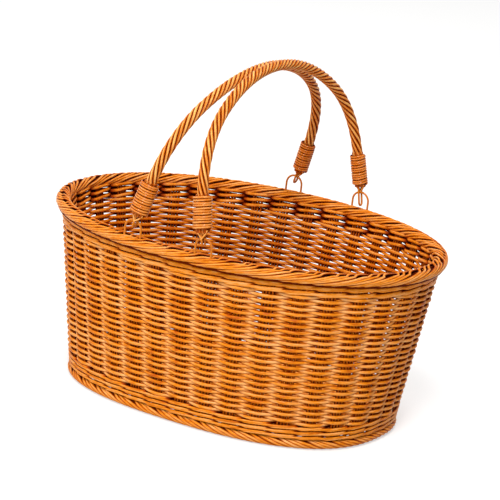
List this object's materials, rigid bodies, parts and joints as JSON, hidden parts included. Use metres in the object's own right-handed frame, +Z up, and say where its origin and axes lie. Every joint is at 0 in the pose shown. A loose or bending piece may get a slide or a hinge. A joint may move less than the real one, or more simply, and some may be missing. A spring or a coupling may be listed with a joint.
{
  "type": "oval storage basket",
  "caption": "Oval woven cane basket with flared sides, rolled rim and foot borders, and swinging hoop handles hung on wire loops.",
  "frame": {"origin": "on the floor plane, under the middle of the basket", "axes": "+X along the oval's length, +Y across it from the near long side to the far one, +Z up"},
  "size_m": [0.4, 0.3089, 0.3385],
  "materials": {
    "cane": "glossy honey-stained cane",
    "stake_cane": "honey-stained cane, darker inside the weave",
    "handle_cane": "glossy twisted cane",
    "binding_cane": "glossy fine cane, tightly wound",
    "loop_wire": "thin cane over a wire core"
  },
  "bodies": {
    "basket": {"foot_border": "cane", "floor_weave": "cane", "floor_ribs": "stake_cane", "bottom_waling": "cane", "side_weave": "cane", "top_waling": "cane", "stakes": "stake_cane", "rim_border": "cane", "left_near_rim_loop": "loop_wire", "left_far_rim_loop": "loop_wire", "right_near_rim_loop": "loop_wire", "right_far_rim_loop": "loop_wire"},
    "left_handle": {"left_hoop": "handle_cane", "left_near_binding": "binding_cane", "left_far_binding": "binding_cane", "left_near_eye": "loop_wire", "left_far_eye": "loop_wire"},
    "right_handle": {"right_hoop": "handle_cane", "right_near_binding": "binding_cane", "right_far_binding": "binding_cane", "right_near_eye": "loop_wire", "right_far_eye": "loop_wire"}
  },
  "joints": [
    {"name": "left_handle_swing", "type": "hinge", "parent": "basket", "child": "left_handle", "pos_m": [-0.039, 0, 0.1843], "axis": [0, -1, 0], "range_deg": [0, 90]},
    {"name": "right_handle_swing", "type": "hinge", "parent": "basket", "child": "right_handle", "pos_m": [0.039, 0, 0.1843], "axis": [0, 1, 0], "range_deg": [0, 85]}
  ]
}
